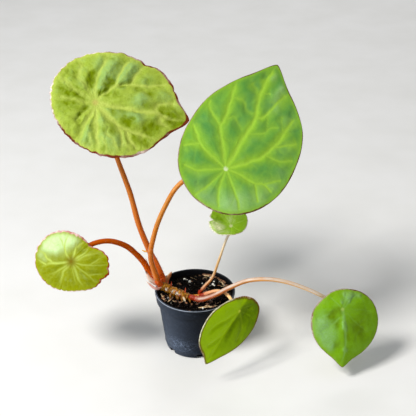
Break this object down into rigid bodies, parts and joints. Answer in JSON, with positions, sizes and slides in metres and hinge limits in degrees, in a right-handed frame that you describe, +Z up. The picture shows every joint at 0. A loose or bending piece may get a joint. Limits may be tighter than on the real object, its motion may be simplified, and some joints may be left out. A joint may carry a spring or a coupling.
{
  "type": "potted begonia",
  "caption": "Young creeping-stemmed begonia with round shield-shaped leaves on long bent stalks, growing in a small dark plastic nursery pot.",
  "frame": {"origin": "middle of the pot's underside", "axes": "+Z up, -Y towards the side that the picture shows, +X to the picture's right"},
  "size_m": [0.2488, 0.0951, 0.2233],
  "materials": {
    "pot_plastic": "satin moulded black plastic, lightly dusty",
    "potting_soil": "damp peat with bark chips and white grains",
    "stem_skin": "matte knobby brown-green skin",
    "sheath_paper": "dry papery scale",
    "leaf_pale": "satin puckered leaf",
    "leaf_dark": "satin leaf with pale veins",
    "leaf_lime": "glossy pleated leaf",
    "leaf_bright": "satin leaf",
    "leaf_green": "satin leaf",
    "stalk_red": "smooth translucent stalk with fine hairs",
    "stalk_amber": "smooth translucent stalk with fine hairs",
    "stalk_tan": "smooth translucent stalk with fine hairs"
  },
  "bodies": {
    "root": {"pot": "pot_plastic", "soil": "potting_soil", "creeping_stem": "stem_skin", "sheath_back": "sheath_paper", "sheath_left": "sheath_paper", "sheath_front": "sheath_paper", "sheath_tall": "sheath_paper", "blade_upper_left": "leaf_pale", "blade_upper_right": "leaf_dark", "blade_left": "leaf_lime", "blade_young": "leaf_bright", "blade_front": "leaf_bright", "blade_right": "leaf_green", "stalk_upper_left": "stalk_red", "stalk_upper_right": "stalk_amber", "stalk_left": "stalk_red", "stalk_young": "stalk_tan", "stalk_front": "stalk_tan", "stalk_right": "stalk_tan"}
  },
  "joints": []
}
